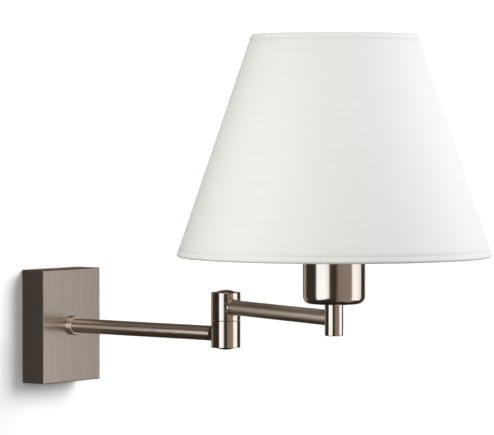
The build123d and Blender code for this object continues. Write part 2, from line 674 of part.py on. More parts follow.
def holder_base():
    """Moulded bell of the lampholder with the screwed neck below."""
    neck = HOLDER_NECK_DIAMETER / 2
    outer = HOLDER_BASE_DIAMETER / 2
    inner = outer - HOLDER_BASE_WALL
    neck_top = HOLDER_BOTTOM + HOLDER_NECK_LENGTH
    bell_bottom = neck_top - HOLDER_BASE_WALL
    shoulder = bell_bottom + HOLDER_SHOULDER
    hole = NIPPLE_RADIUS + THREAD_CLEARANCE
    outline = Polyline(
        (hole, HOLDER_BOTTOM),
        (neck, HOLDER_BOTTOM),
        (neck, bell_bottom),
        (outer, shoulder),
        (outer, HOLDER_BASE_TOP),
        (inner, HOLDER_BASE_TOP),
        (inner, shoulder + HOLDER_BASE_WALL),
        (neck, neck_top),
        (hole, neck_top),
        close=True,
    )
    return on_head(turned(outline))


def holder_skirt():
    """Screwed sleeve of the lampholder: laps the base, holds the insert down, carries the ring nut."""
    outer = SKIRT_DIAMETER / 2
    lap = HOLDER_BASE_DIAMETER / 2 + THREAD_CLEARANCE
    bore = outer - SKIRT_WALL
    mouth = shell_outside() + SKIRT_MOUTH_GAP
    skirt = ring(outer, bore, SKIRT_BOTTOM, SKIRT_TOP - SKIRT_LIP)
    skirt += ring(outer, mouth, SKIRT_TOP - SKIRT_LIP, SKIRT_TOP)
    return on_head(skirt - disc(lap, SKIRT_BOTTOM, SKIRT_SHOULDER))


def shell_outside():
    """Outer radius of the lampholder's screw shell."""
    return SHELL_BORE / 2 + SHELL_WALL


def holder_insert():
    """Contact block: flange clamped between base and skirt, foot with terminals, head under the shell."""
    flange = HOLDER_BASE_DIAMETER / 2 - SLIP_CLEARANCE
    insert = disc(flange, HOLDER_BASE_TOP, SKIRT_SHOULDER)
    insert += disc(INSERT_FOOT_DIAMETER / 2, INSERT_BOTTOM, HOLDER_BASE_TOP)
    insert += disc(shell_outside(), SKIRT_SHOULDER, INSERT_TOP)
    insert -= disc(CONTACT_WELL_DIAMETER / 2, INSERT_TOP - CONTACT_WELL, INSERT_TOP)
    return on_head(insert - holder_screw_bars(THREAD_CLEARANCE))


def holder_screw_bars(clearance):
    """Terminal screws of the lampholder, from both sides of the insert's foot."""
    radius = HOLDER_SCREW_DIAMETER / 2 + clearance
    level = (INSERT_BOTTOM + HOLDER_BASE_TOP) / 2
    outer_end = INSERT_FOOT_DIAMETER / 2
    inner_end = outer_end - HOLDER_SCREW_LENGTH
    bars = [rod(radius, (side * inner_end, 0, level), (side * outer_end, 0, level)) for side in (-1, 1)]
    return Part() + bars


def holder_terminal_screws():
    """Screws that clamp the two wires."""
    return on_head(holder_screw_bars(0))


def holder_screw_shell():
    """Metal sleeve that takes the screw cap, drawn at the thread's major diameter."""
    return on_head(ring(shell_outside(), SHELL_BORE / 2, INSERT_TOP, INSERT_TOP + SHELL_LENGTH))


def holder_contact():
    """Sprung tongue in the well of the insert: a foot, a slope and a flat tip."""
    floor = INSERT_TOP - CONTACT_WELL
    well_radius = CONTACT_WELL_DIAMETER / 2 - SLIP_CLEARANCE
    reach = sqrt(well_radius**2 - (CONTACT_WIDTH / 2) ** 2)
    tip = CONTACT_RISE + floor
    half = CONTACT_SHEET / 2
    spine = Polyline((-reach, floor + half), (-reach / 2, floor + half), (0, tip), (reach / 2, tip))
    strip = Plane.XZ * make_face(offset_strip(spine, half))
    return on_head(extrude(strip, CONTACT_WIDTH / 2, both=True))


def offset_strip(spine, half):
    """Closed outline of a bent strip that follows a line in the plane."""
    points = [spine @ 0] + [edge @ 1 for edge in spine.edges()]
    lower = [(point.X, point.Y - half) for point in points]
    upper = [(point.X, point.Y + half) for point in reversed(points)]
    return Polyline(*lower, *upper, close=True)


def shade_ring_nut():
    """Screwed ring with a flange and a fluted grip that clamps the shade's carrier."""
    bore = SKIRT_DIAMETER / 2 + SLIP_CLEARANCE
    top = CARRIER_TOP + RING_NUT_HEIGHT
    nut = disc(RING_NUT_FLANGE_DIAMETER / 2, CARRIER_TOP, CARRIER_TOP + RING_NUT_FLANGE)
    grip = disc(RING_NUT_GRIP_DIAMETER / 2, CARRIER_TOP, top)
    flute = disc(RING_NUT_FLUTE_RADIUS, CARRIER_TOP, top)
    flute_place = (RING_NUT_GRIP_DIAMETER + RING_NUT_FLUTE_RADIUS) / 2
    grip -= [loc * flute for loc in PolarLocations(flute_place, RING_NUT_FLUTES)]
    return on_head(nut + grip - disc(bore, CARRIER_TOP, top))


def spoke_wires(radius):
    """Wires from the carrier's plate out to the bottom wire of the shade, square to the plate's edge."""
    start = (CARRIER_RADIUS - WIRE_RADIUS, 0, CUP_TOP + CARRIER_SHEET / 2)
    end = (BOTTOM_WIRE_RADIUS, 0, BOTTOM_WIRE_Z)
    spoke = rod(radius, start, end) - disc(CARRIER_RADIUS + THREAD_CLEARANCE, BOTTOM_WIRE_Z, SHADE_TOP)
    turn = 360 / SPOKE_COUNT
    return [about(FIRST_SPOKE_ANGLE + turn * count, spoke) for count in range(SPOKE_COUNT)]


def shade_carrier():
    """Plate on the rim of the cup, with the hole for the lampholder's sleeve."""
    return on_head(ring(CARRIER_RADIUS, CARRIER_HOLE / 2, CUP_TOP, CARRIER_TOP))


def shade_spokes():
    """Wires welded to the edge of the carrier and to the bottom wire of the shade."""
    weld_seat = Pos(0, 0, BOTTOM_WIRE_Z) * Torus(BOTTOM_WIRE_RADIUS, WIRE_RADIUS + THREAD_CLEARANCE)
    return on_head(Part() + [spoke - weld_seat for spoke in spoke_wires(WIRE_RADIUS)])


def shade_bottom_ring():
    """Closed wire in the bottom hem."""
    return on_head(Pos(0, 0, BOTTOM_WIRE_Z) * Torus(BOTTOM_WIRE_RADIUS, WIRE_RADIUS))


def shade_top_ring():
    """Closed wire in the top hem."""
    return on_head(Pos(0, 0, TOP_WIRE_Z) * Torus(TOP_WIRE_RADIUS, WIRE_RADIUS))


def shade():
    """Tapered sheet, rolled round a wire at both ends and slit where the spokes pass."""
    rise = TOP_WIRE_Z - BOTTOM_WIRE_Z
    taper = BOTTOM_WIRE_RADIUS - TOP_WIRE_RADIUS
    slant = hypot(rise, taper)
    normal = Vector(rise / slant, taper / slant)
    low = Vector(BOTTOM_WIRE_RADIUS, BOTTOM_WIRE_Z)
    high = Vector(TOP_WIRE_RADIUS, TOP_WIRE_Z)
    outer = HEM_RADIUS
    inner = HEM_RADIUS - SHADE_WALL
    corners = [low + normal * inner, low + normal * outer, high + normal * outer, high + normal * inner]
    wall = make_face(Polyline(*corners, close=True))
    roll = Circle(HEM_RADIUS)
    section = wall + [Pos(*end) * roll for end in (low, high)]
    section -= [Pos(*end) * Circle(HEM_BORE_RADIUS) for end in (low, high)]
    cloth = revolve(Plane.XZ * section, Axis.Z)
    return on_head(cloth - spoke_wires(WIRE_RADIUS + LOOSE_CLEARANCE))


def swing_arm_cable():
    """Flex from the pivot through the second arm and up through the post to the lampholder."""
    level = SWING_AXIS_Z + FLEX_HIGH
    points = [
        (0, 0, FLEX_SPLIT_Z),
        (0, 0, level),
        (0, -SWING_ARM_LENGTH, level),
        (0, -SWING_ARM_LENGTH, INSERT_BOTTOM),
    ]
    return on_swing_arm(flex(points))


PIECES = [
    wall_bracket,
    wall_cover,
    cover_screws,
    terminal_block,
    terminal_inserts,
    terminal_screws,
    terminal_fixing_screws,
    earth_washer,
    earth_screw,
    arm_nipple,
    arm_washer,
    arm_nut,
    arm_collar,
    fixed_arm_tube,
    lower_knuckle,
    lower_knuckle_cap,
    pivot_tube,
    pivot_lower_nut,
    pivot_upper_nut,
    friction_washer,
    spring_washer,
    stop_pin,
    fixed_arm_cable,
    upper_knuckle,
    upper_knuckle_cap,
    swing_arm_tube,
    head_post,
    head_nipple,
    holder_cup,
    cup_washer,
    cup_nut,
    holder_base,
    holder_skirt,
    holder_insert,
    holder_terminal_screws,
    holder_screw_shell,
    holder_contact,
    shade_ring_nut,
    shade_carrier,
    shade_spokes,
    shade_bottom_ring,
    shade_top_ring,
    shade,
    swing_arm_cable,
]

os.makedirs("parts", exist_ok=True)
for piece in PIECES:
    export_step(piece(), f"parts/{piece.__name__}.step")
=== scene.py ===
from math import cos, hypot, pi, radians, sin

import bpy
from mathutils import Matrix, Vector


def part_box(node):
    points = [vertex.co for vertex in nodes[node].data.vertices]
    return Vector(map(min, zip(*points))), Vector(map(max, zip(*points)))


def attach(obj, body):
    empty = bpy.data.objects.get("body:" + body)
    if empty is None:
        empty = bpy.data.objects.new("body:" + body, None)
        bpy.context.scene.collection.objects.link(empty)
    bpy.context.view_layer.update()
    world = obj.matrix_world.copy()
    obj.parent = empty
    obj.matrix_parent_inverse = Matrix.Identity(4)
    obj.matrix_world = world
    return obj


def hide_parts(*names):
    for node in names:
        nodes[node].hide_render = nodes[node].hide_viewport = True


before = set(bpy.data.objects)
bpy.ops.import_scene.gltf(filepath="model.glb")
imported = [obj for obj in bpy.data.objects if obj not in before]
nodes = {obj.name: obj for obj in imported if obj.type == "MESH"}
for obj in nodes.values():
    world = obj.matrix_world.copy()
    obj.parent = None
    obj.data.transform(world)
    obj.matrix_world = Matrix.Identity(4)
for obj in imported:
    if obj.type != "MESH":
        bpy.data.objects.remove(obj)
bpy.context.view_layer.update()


# Wall bracket and the steel fixings: a pressed strip with slots, and the screws, nuts and washers
# that hold the lamp together. Mild steel, stamped or turned, then barrel plated with zinc.
# The bracket is screwed to the wall first and carries everything else.
STEEL_PIECES = (
    "wall_bracket", "cover_screws", "terminal_fixing_screws", "terminal_screws", "earth_washer",
    "arm_washer", "arm_nut", "pivot_lower_nut", "pivot_upper_nut", "spring_washer", "stop_pin",
    "cup_washer", "cup_nut", "holder_terminal_screws",
)
MM = 0.001
ZINC_LIGHT = "#C9CCCE"
ZINC_DARK = "#A3A8AC"
ZINC_SMOOTHEST = 0.28
ZINC_DULLEST = 0.5
SPANGLE_MM = 1.6
BARREL_MARK_MM = 0.5
BARREL_MARK_DEPTH = 0.05 * MM
BARREL_MARK_SHOWS = 0.15
# Sockets of a Mix node of colours, by number because their names come more than once: share, ends, result.
SHARE, FROM, TO, BLEND = 0, 6, 7, 2


def linear(hex_colour):
    """An sRGB hex colour as the linear RGBA that the shaders work in."""
    channels = [int(hex_colour[place:place + 2], 16) / 255 for place in (1, 3, 5)]
    bent = [c / 12.92 if c <= 0.04045 else ((c + 0.055) / 1.055) ** 2.4 for c in channels]
    return (*bent, 1.0)


def per_metre(size_mm):
    """Texture scale of features of this size, because object coordinates are in metres."""
    return 1 / (size_mm * MM)


def add(tree, kind, inputs=None, **settings):
    """Add a node with its settings. An input that is given a socket is linked, any other is set."""
    made = tree.nodes.new("ShaderNode" + kind)
    for name, value in settings.items():
        setattr(made, name, value)
    for name, value in (inputs or {}).items():
        if isinstance(value, bpy.types.NodeSocket):
            tree.links.new(value, made.inputs[name])
        else:
            made.inputs[name].default_value = value
    return made


def start_material(name, **constants):
    """A new material, its node tree and its shader, with the shader's constant inputs set."""
    material = bpy.data.materials.new(name)
    material.use_nodes = True
    tree = material.node_tree
    shader = tree.nodes["Principled BSDF"]
    for socket, value in constants.items():
        shader.inputs[socket.replace("_", " ")].default_value = value
    return material, tree, shader


def feed(tree, shader, **sources):
    """Link outputs to the shader's inputs, which are named with _ for a space."""
    for socket, source in sources.items():
        tree.links.new(source, shader.inputs[socket.replace("_", " ")])


def dress(names, material):
    """Give CAD nodes their real finish in place of the plain colour that they came with."""
    for name in names:
        for material_slot in nodes[name].material_slots:
            material_slot.material = material


# Zinc plate on steel: dull silver with a faint cloudy spangle and small marks from the barrel.
zinc_plate, tree, shader = start_material("zinc_plated_steel", Metallic=1.0)
place = add(tree, "TexCoord").outputs["Object"]
spangle = add(tree, "TexVoronoi", {"Vector": place, "Scale": per_metre(SPANGLE_MM)}).outputs["Color"]
marks = add(tree, "TexNoise", {"Vector": place, "Scale": per_metre(BARREL_MARK_MM)}).outputs["Fac"]
tone = add(
    tree, "Mix", {SHARE: spangle, FROM: linear(ZINC_DARK), TO: linear(ZINC_LIGHT)}, data_type="RGBA",
)
dulled = add(tree, "MapRange", {"Value": marks, "To Min": ZINC_SMOOTHEST, "To Max": ZINC_DULLEST})
dents = add(
    tree, "Bump", {"Height": marks, "Strength": BARREL_MARK_SHOWS, "Distance": BARREL_MARK_DEPTH},
)
feed(
    tree, shader, Base_Color=tone.outputs[BLEND], Roughness=dulled.outputs["Result"],
    Normal=dents.outputs["Normal"],
)
dress(STEEL_PIECES, zinc_plate)


# Terminal block and the washer of the elbow: a three pole strip and a thin bearing ring.
# Polyamide, injection moulded in natural white and left with the fine texture of the mould.
# The block is screwed to the bracket, and the ring runs between the two knuckles.
NYLON_PIECES = ("terminal_block", "friction_washer")
NYLON_LIGHT = "#F0EEE6"
NYLON_DARK = "#E4E1D6"
NYLON_SMOOTHEST = 0.38
NYLON_DULLEST = 0.55
FLOW_MARK_MM = 6.0
MOULD_GRAIN_MM = 0.25
MOULD_GRAIN_DEPTH = 0.03 * MM
MOULD_GRAIN_SHOWS = 0.2

# Moulded nylon: milky white with slow flow clouds and an even, slightly waxy gloss.
moulded_nylon, tree, shader = start_material("moulded_nylon", IOR=1.53)
place = add(tree, "TexCoord").outputs["Object"]
clouds = add(tree, "TexNoise", {"Vector": place, "Scale": per_metre(FLOW_MARK_MM)}).outputs["Fac"]
grain = add(tree, "TexNoise", {"Vector": place, "Scale": per_metre(MOULD_GRAIN_MM)}).outputs["Fac"]
tone = add(
    tree, "Mix", {SHARE: clouds, FROM: linear(NYLON_DARK), TO: linear(NYLON_LIGHT)}, data_type="RGBA",
)
gloss = add(tree, "MapRange", {"Value": grain, "To Min": NYLON_SMOOTHEST, "To Max": NYLON_DULLEST})
texture = add(
    tree, "Bump", {"Height": grain, "Strength": MOULD_GRAIN_SHOWS, "Distance": MOULD_GRAIN_DEPTH},
)
feed(
    tree, shader, Base_Color=tone.outputs[BLEND], Roughness=gloss.outputs["Result"],
    Normal=texture.outputs["Normal"],
)
dress(NYLON_PIECES, moulded_nylon)


# Brass pieces: terminal inserts, earth screw, the threaded nipples, the hollow pivot of the elbow
# and the contact of the lampholder. Free-cutting brass bar and strip, turned or pressed.
# They are screwed into the steel and nickel pieces around them and carry the wires or the load.
BRASS_PIECES = (
    "terminal_inserts", "earth_screw", "arm_nipple", "pivot_tube", "head_nipple", "holder_contact",
)
BRASS_LIGHT = "#D9BA74"
BRASS_TARNISHED = "#B08C4A"
BRASS_SMOOTHEST = 0.18
BRASS_DULLEST = 0.42
TARNISH_MM = 4.0
TOOL_MARK_MM = 0.3
TOOL_MARK_DEPTH = 0.03 * MM
TOOL_MARK_SHOWS = 0.12

# Bare brass: warm yellow with soft brown tarnish and fine marks of the tool.
turned_brass, tree, shader = start_material("turned_brass", Metallic=1.0)
place = add(tree, "TexCoord").outputs["Object"]
tarnish = add(tree, "TexNoise", {"Vector": place, "Scale": per_metre(TARNISH_MM)}).outputs["Fac"]
tooling = add(tree, "TexNoise", {"Vector": place, "Scale": per_metre(TOOL_MARK_MM)}).outputs["Fac"]
tone = add(
    tree, "Mix", {SHARE: tarnish, FROM: linear(BRASS_LIGHT), TO: linear(BRASS_TARNISHED)},
    data_type="RGBA",
)
dulled = add(
    tree, "MapRange", {"Value": tarnish, "To Min": BRASS_SMOOTHEST, "To Max": BRASS_DULLEST},
)
cuts = add(tree, "Bump", {"Height": tooling, "Strength": TOOL_MARK_SHOWS, "Distance": TOOL_MARK_DEPTH})
feed(
    tree, shader, Base_Color=tone.outputs[BLEND], Roughness=dulled.outputs["Result"],
    Normal=cuts.outputs["Normal"],
)
dress(BRASS_PIECES, turned_brass)


# Wall cover: the flat box on the wall, folded from steel sheet with tight edges.
# Belt brushed upright on its front and sides, then nickel plated, which leaves a warm grey grain.
# It slides over the bracket and two small screws hold it from above and below.
BRUSHED_LIGHT = "#D0C5B9"
BRUSHED_DARK = "#C0B5A9"
BRUSHED_SMOOTHEST = 0.28
BRUSHED_DULLEST = 0.3
BRUSH_LINE_MM = 0.9
BRUSH_STROKE_MM = 70.0
BRUSH_OCTAVES = 5.0
DARK_LINES_BELOW = 0.3
LIGHT_LINES_ABOVE = 0.7
BRUSH_LINE_DEPTH = 0.05 * MM
BRUSH_LINE_SHOWS = 0.04
PLATE_CLOUD_MM = 45.0
# Upright but for a hair, so that its cross product with the normal of a level face isn't zero.
UP_NEARLY = (0.0, 0.02, 1.0)

# Brushed nickel: a grain of upright lines that draws each reflection out sideways. The real lines
# are about 0.1 mm apart and are drawn near 1 mm so that they show.
brushed_nickel, tree, shader = start_material("brushed_nickel_plate", Metallic=1.0, Anisotropic=0.9)
place = add(tree, "TexCoord").outputs["Object"]
stroke_scale = (per_metre(BRUSH_LINE_MM), per_metre(BRUSH_LINE_MM), per_metre(BRUSH_STROKE_MM))
strokes = add(tree, "Mapping", {"Vector": place, "Scale": stroke_scale}).outputs["Vector"]
lines = add(tree, "TexNoise", {"Vector": strokes, "Scale": 1.0, "Detail": BRUSH_OCTAVES}).outputs["Fac"]
clouds = add(tree, "TexNoise", {"Vector": place, "Scale": per_metre(PLATE_CLOUD_MM)}).outputs["Fac"]
line_share = add(
    tree, "MapRange", {"Value": lines, "From Min": DARK_LINES_BELOW, "From Max": LIGHT_LINES_ABOVE},
).outputs["Result"]
tone = add(
    tree, "Mix", {SHARE: line_share, FROM: linear(BRUSHED_DARK), TO: linear(BRUSHED_LIGHT)},
    data_type="RGBA",
)
dulled = add(
    tree, "MapRange", {"Value": clouds, "To Min": BRUSHED_SMOOTHEST, "To Max": BRUSHED_DULLEST},
)
scratch = add(tree, "Bump", {"Height": lines, "Strength": BRUSH_LINE_SHOWS, "Distance": BRUSH_LINE_DEPTH})
facing = add(tree, "NewGeometry").outputs["Normal"]
across = add(tree, "VectorMath", {0: UP_NEARLY, 1: facing}, operation="CROSS_PRODUCT")
feed(
    tree, shader, Base_Color=tone.outputs[BLEND], Roughness=dulled.outputs["Result"],
    Normal=scratch.outputs["Normal"], Tangent=across.outputs["Vector"],
)
dress(("wall_cover",), brushed_nickel)


# The two arms: drawn steel tube, 12.7 mm across, polished round and round on a soft wheel and nickel
# plated, so they are satin rather than mirrors. The first screws on to the nipple of the box through
# a turned collar, the second swings, and both are brazed into the knuckles of the elbow.
SATIN_LIGHT = "#E6DACC"
SATIN_DARK = "#DFD3C5"
TUBE_ROUGHNESS = (0.28, 0.3)
COLLAR_ROUGHNESS = (0.4, 0.44)
WHEEL_MARK_MM = 0.8


def satin_nickel(name, finest, dullest):
    """Satin nickel: a faint fleck, and polishing that goes round the piece, which draws a reflection
    out along it and keeps the light and dark bands across it crisp."""
    material, tree, shader = start_material(name, Metallic=1.0, Anisotropic=0.95)
    place = add(tree, "TexCoord").outputs["Object"]
    fleck = add(tree, "TexNoise", {"Vector": place, "Scale": per_metre(WHEEL_MARK_MM)}).outputs["Fac"]
    clouds = add(tree, "TexNoise", {"Vector": place, "Scale": per_metre(PLATE_CLOUD_MM)}).outputs["Fac"]
    tone = add(
        tree, "Mix", {SHARE: fleck, FROM: linear(SATIN_DARK), TO: linear(SATIN_LIGHT)}, data_type="RGBA",
    )
    dulled = add(tree, "MapRange", {"Value": clouds, "To Min": finest, "To Max": dullest})
    facing = add(tree, "NewGeometry").outputs["Normal"]
    along = add(tree, "VectorMath", {0: UP_NEARLY, 1: facing}, operation="CROSS_PRODUCT")
    feed(
        tree, shader, Base_Color=tone.outputs[BLEND], Roughness=dulled.outputs["Result"],
        Tangent=along.outputs["Vector"],
    )
    return material


dress(("fixed_arm_tube", "swing_arm_tube"), satin_nickel("satin_nickel_tube", *TUBE_ROUGHNESS))
dress(("arm_collar",), satin_nickel("coarse_turned_nickel", *COLLAR_ROUGHNESS))


# Knuckles, caps, upright post and cup: the bright pieces, turned from bar or spun.
# Buffed to a mirror and nickel plated. The caps are pressed into the knuckles, the post is brazed
# on the end of the swinging arm, and the cup is held on the post by the nipple of the lampholder.
BRIGHT_PIECES = (
    "lower_knuckle", "lower_knuckle_cap", "upper_knuckle", "upper_knuckle_cap", "head_post",
    "holder_cup",
)
MIRROR_LIGHT = "#D8CFC5"
MIRROR_DARK = "#CEC4B9"
MIRROR_SMOOTHEST = 0.13
MIRROR_DULLEST = 0.18
WIPE_MARK_MM = 9.0
BUFF_RIPPLE_MM = 5.0
BUFF_RIPPLE_DEPTH = 0.1 * MM
BUFF_RIPPLE_SHOWS = 0.03

# Polished nickel: a warm grey mirror with a trace of wiping marks and buffing ripple.
polished_nickel, tree, shader = start_material("polished_nickel", Metallic=1.0)
place = add(tree, "TexCoord").outputs["Object"]
wiped = add(tree, "TexNoise", {"Vector": place, "Scale": per_metre(WIPE_MARK_MM)}).outputs["Fac"]
ripple = add(tree, "TexNoise", {"Vector": place, "Scale": per_metre(BUFF_RIPPLE_MM)}).outputs["Fac"]
tone = add(
    tree, "Mix", {SHARE: wiped, FROM: linear(MIRROR_DARK), TO: linear(MIRROR_LIGHT)}, data_type="RGBA",
)
dulled = add(tree, "MapRange", {"Value": wiped, "To Min": MIRROR_SMOOTHEST, "To Max": MIRROR_DULLEST})
buffed = add(
    tree, "Bump", {"Height": ripple, "Strength": BUFF_RIPPLE_SHOWS, "Distance": BUFF_RIPPLE_DEPTH},
)
feed(
    tree, shader, Base_Color=tone.outputs[BLEND], Roughness=dulled.outputs["Result"],
    Normal=buffed.outputs["Normal"],
)
dress(BRIGHT_PIECES, polished_nickel)


# Inner flex: the sheathed cable that runs hidden through the arms, the pivot and the post.
# Soft PVC over stranded copper, extruded, in the white of household flex.
# It is clamped in the terminal block at one end and in the lampholder at the other.
SHEATH_LIGHT = "#E9E8E2"
SHEATH_DARK = "#DCDAD2"
SHEATH_SMOOTHEST = 0.45
SHEATH_DULLEST = 0.65
SCUFF_MM = 3.0

# Extruded PVC: white with a dull skin and slight scuffs from being pulled through.
extruded_pvc, tree, shader = start_material("extruded_pvc_sheath", IOR=1.53)
place = add(tree, "TexCoord").outputs["Object"]
scuffs = add(tree, "TexNoise", {"Vector": place, "Scale": per_metre(SCUFF_MM)}).outputs["Fac"]
tone = add(
    tree, "Mix", {SHARE: scuffs, FROM: linear(SHEATH_DARK), TO: linear(SHEATH_LIGHT)}, data_type="RGBA",
)
dulled = add(
    tree, "MapRange", {"Value": scuffs, "To Min": SHEATH_SMOOTHEST, "To Max": SHEATH_DULLEST},
)
feed(tree, shader, Base_Color=tone.outputs[BLEND], Roughness=dulled.outputs["Result"])
dress(("fixed_arm_cable", "swing_arm_cable"), extruded_pvc)


# Lampholder body and shade ring: base, skirt, contact carrier and the fluted ring nut.
# Black phenolic, compression moulded, and rubbed a little brighter in places by handling.
# The base screws on the nipple, the skirt on the base, and the ring nut clamps the shade.
PHENOLIC_PIECES = ("holder_base", "holder_skirt", "holder_insert", "shade_ring_nut")
PHENOLIC_DEEP = "#161719"
PHENOLIC_WORN = "#2A2B2D"
PHENOLIC_SMOOTHEST = 0.25
PHENOLIC_DULLEST = 0.45
PHENOLIC_GRAIN_MM = 0.4
PHENOLIC_GRAIN_DEPTH = 0.04 * MM
PHENOLIC_GRAIN_SHOWS = 0.15

# Phenolic: near black with a hard, slightly uneven gloss and a fine moulded grain.
black_phenolic, tree, shader = start_material("black_phenolic", IOR=1.6)
place = add(tree, "TexCoord").outputs["Object"]
worn = add(tree, "TexNoise", {"Vector": place, "Scale": per_metre(FLOW_MARK_MM)}).outputs["Fac"]
grain = add(tree, "TexNoise", {"Vector": place, "Scale": per_metre(PHENOLIC_GRAIN_MM)}).outputs["Fac"]
tone = add(
    tree, "Mix", {SHARE: worn, FROM: linear(PHENOLIC_DEEP), TO: linear(PHENOLIC_WORN)}, data_type="RGBA",
)
gloss = add(
    tree, "MapRange", {"Value": worn, "To Min": PHENOLIC_SMOOTHEST, "To Max": PHENOLIC_DULLEST},
)
texture = add(
    tree, "Bump", {"Height": grain, "Strength": PHENOLIC_GRAIN_SHOWS, "Distance": PHENOLIC_GRAIN_DEPTH},
)
feed(
    tree, shader, Base_Color=tone.outputs[BLEND], Roughness=gloss.outputs["Result"],
    Normal=texture.outputs["Normal"],
)
dress(PHENOLIC_PIECES, black_phenolic)


# Screw shell of the lampholder: the thin threaded cup that takes the bulb's cap.
# Brass strip, drawn to a sleeve and rolled with the round E27 thread, seven turns to the inch.
# It is pressed into the contact carrier, with a short plain mouth at the top.
THREAD_PITCH = 25.4 * MM / 7
THREAD_DEPTH = 1.0 * MM
SHELL_SHEET = 0.35 * MM
PLAIN_MOUTH = 1.8 * MM
SHELL_COLUMNS = 96
SHELL_ROWS = 64


def placed(name, data):
    """A new object with this mesh, light or camera, put into the scene."""
    made = bpy.data.objects.new(name, data)
    bpy.context.scene.collection.objects.link(made)
    return made


def lofted(name, rows, around, uv_rows=None):
    """A smooth mesh through rows of points. Closed rows go right round; UVs are given in metres."""
    across = len(rows[0])
    points = [point for row in rows for point in row]
    faces = []
    corners = []
    for r in range(len(rows) - 1):
        for c in range(across if around else across - 1):
            beside = (c + 1) % across
            faces.append((r * across + c, r * across + beside, (r + 1) * across + beside,
                          (r + 1) * across + c))
            corners += [(r, c), (r, beside), (r + 1, beside), (r + 1, c)]
    mesh = bpy.data.meshes.new(name)
    mesh.from_pydata(points, [], faces)
    mesh.polygons.foreach_set("use_smooth", [True] * len(faces))
    if uv_rows:
        layer = mesh.uv_layers.new(name="flat_cloth")
        for loop, (r, c) in zip(layer.data, corners):
            loop.uv = uv_rows[r][c]
    return placed(name, mesh)


def middle(name):
    """Centre of a node's box at rest."""
    low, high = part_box(name)
    return (low + high) / 2


def thicken(piece, sheet, offset=-1.0):
    """Give a surface the thickness of the sheet that it is made from."""
    solid = piece.modifiers.new("sheet", "SOLIDIFY")
    solid.thickness = sheet
    solid.offset = offset
    return solid


shell_low, shell_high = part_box("holder_screw_shell")
shell_axis = middle("holder_screw_shell")
shell_radius = (shell_high.x - shell_low.x) / 2
shell_length = shell_high.z - shell_low.z
shell_rows = []
for row in range(SHELL_ROWS + 1):
    height = shell_length * row / SHELL_ROWS
    to_mouth = shell_length - height
    cut = min(1.0, max(0.0, (to_mouth - PLAIN_MOUTH) / THREAD_PITCH))
    ring = []
    for column in range(SHELL_COLUMNS):
        turn = 2 * pi * column / SHELL_COLUMNS
        wave = (1 - cos(2 * pi * height / THREAD_PITCH - turn)) / 2
        radius = shell_radius - THREAD_DEPTH * cut * wave
        ring.append((shell_axis.x + radius * cos(turn), shell_axis.y + radius * sin(turn),
                     shell_low.z + height))
    shell_rows.append(ring)
thread_shell = lofted("thread_shell", shell_rows, around=True)
thicken(thread_shell, SHELL_SHEET)
thread_shell.data.materials.append(turned_brass)
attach(thread_shell, "swing_arm")
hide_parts("holder_screw_shell")


# Shade carrier: a flat ring under the ring nut, three wire spokes and the two hoops of the shade.
# Mild steel wire and strip, spot welded, then dipped in white epoxy.
# The hoops are sewn into the hems, so only the ring and the spokes can be seen, from below.
WIRE_PIECES = ("shade_carrier", "shade_spokes", "shade_bottom_ring", "shade_top_ring")
EPOXY_LIGHT = "#EFEEEA"
EPOXY_DARK = "#E2E0DA"
EPOXY_SMOOTHEST = 0.3
EPOXY_DULLEST = 0.42
COATING_WAVE_MM = 2.0
COATING_WAVE_DEPTH = 0.05 * MM
COATING_WAVE_SHOWS = 0.15

# Epoxy coating: glossy off-white, thicker in places, with a soft orange peel.
white_epoxy, tree, shader = start_material("white_epoxy_coat", IOR=1.5)
place = add(tree, "TexCoord").outputs["Object"]
waves = add(tree, "TexNoise", {"Vector": place, "Scale": per_metre(COATING_WAVE_MM)}).outputs["Fac"]
tone = add(
    tree, "Mix", {SHARE: waves, FROM: linear(EPOXY_DARK), TO: linear(EPOXY_LIGHT)}, data_type="RGBA",
)
gloss = add(tree, "MapRange", {"Value": waves, "To Min": EPOXY_SMOOTHEST, "To Max": EPOXY_DULLEST})
peel = add(
    tree, "Bump", {"Height": waves, "Strength": COATING_WAVE_SHOWS, "Distance": COATING_WAVE_DEPTH},
)
feed(
    tree, shader, Base_Color=tone.outputs[BLEND], Roughness=gloss.outputs["Result"],
    Normal=peel.outputs["Normal"],
)
dress(WIRE_PIECES, white_epoxy)


# Shade: a tapered drum of off-white slub cloth on a stiff film, rolled round a hoop at each end.
# Woven polyester with uneven weft, bonded to white film, cut as an arc and lapped at the back.
# A turned hem tape holds the hoops, and the carrier's spokes hold the lower one.
CLOTH_LIGHT = "#F1F1EE"
CLOTH_DARK = "#EDEDEA"
LINING_LIGHT = "#F4F3EF"
LINING_DARK = "#EAE9E4"
LINING_SMOOTHEST = 0.4
LINING_DULLEST = 0.55
LAMINATE = 0.6 * MM
HEM_TAPE = 0.2 * MM
COVER_INSET = 0.25 * MM
HEM_SHOWS = 2.8 * MM
CUT_EDGE = 0.1 * MM
HEM_TURN_IN = 10.0 * MM
HEM_LEAVES_ROLL = radians(215)
ROLL_STEPS = 18
TURN_IN_STEPS = 5
LAP_WIDTH = 12.0 * MM
LAP_STEP = 4.0 * MM
LAP_LEFT_AT_HOOPS = 0.5
SHADE_COLUMNS = 240
SHADE_ROWS = 28
SEAM_TURN = radians(39)
WEFT_MM = 1.1
WEFT_RUN_MM = 24.0
WARP_MM = 0.9
WARP_RUN_MM = 14.0
SLUB_MM = 2.4
SLUB_RUN_MM = 55.0
THREAD_OCTAVES = 2.0
SLUB_OCTAVES = 1.0
WARP_WEIGHT = 0.5
WEAVE_LOWEST = 0.8
WEAVE_HIGHEST = 1.7
WEAVE_DEPTH = 0.2 * MM
WEAVE_SHOWS = 0.04


def hoop(name):
    """Radius and height of the middle of a hoop's wire."""
    low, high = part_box(name)
    wire = (high.z - low.z) / 2
    return (high.x - low.x) / 2 - wire, low.z + wire


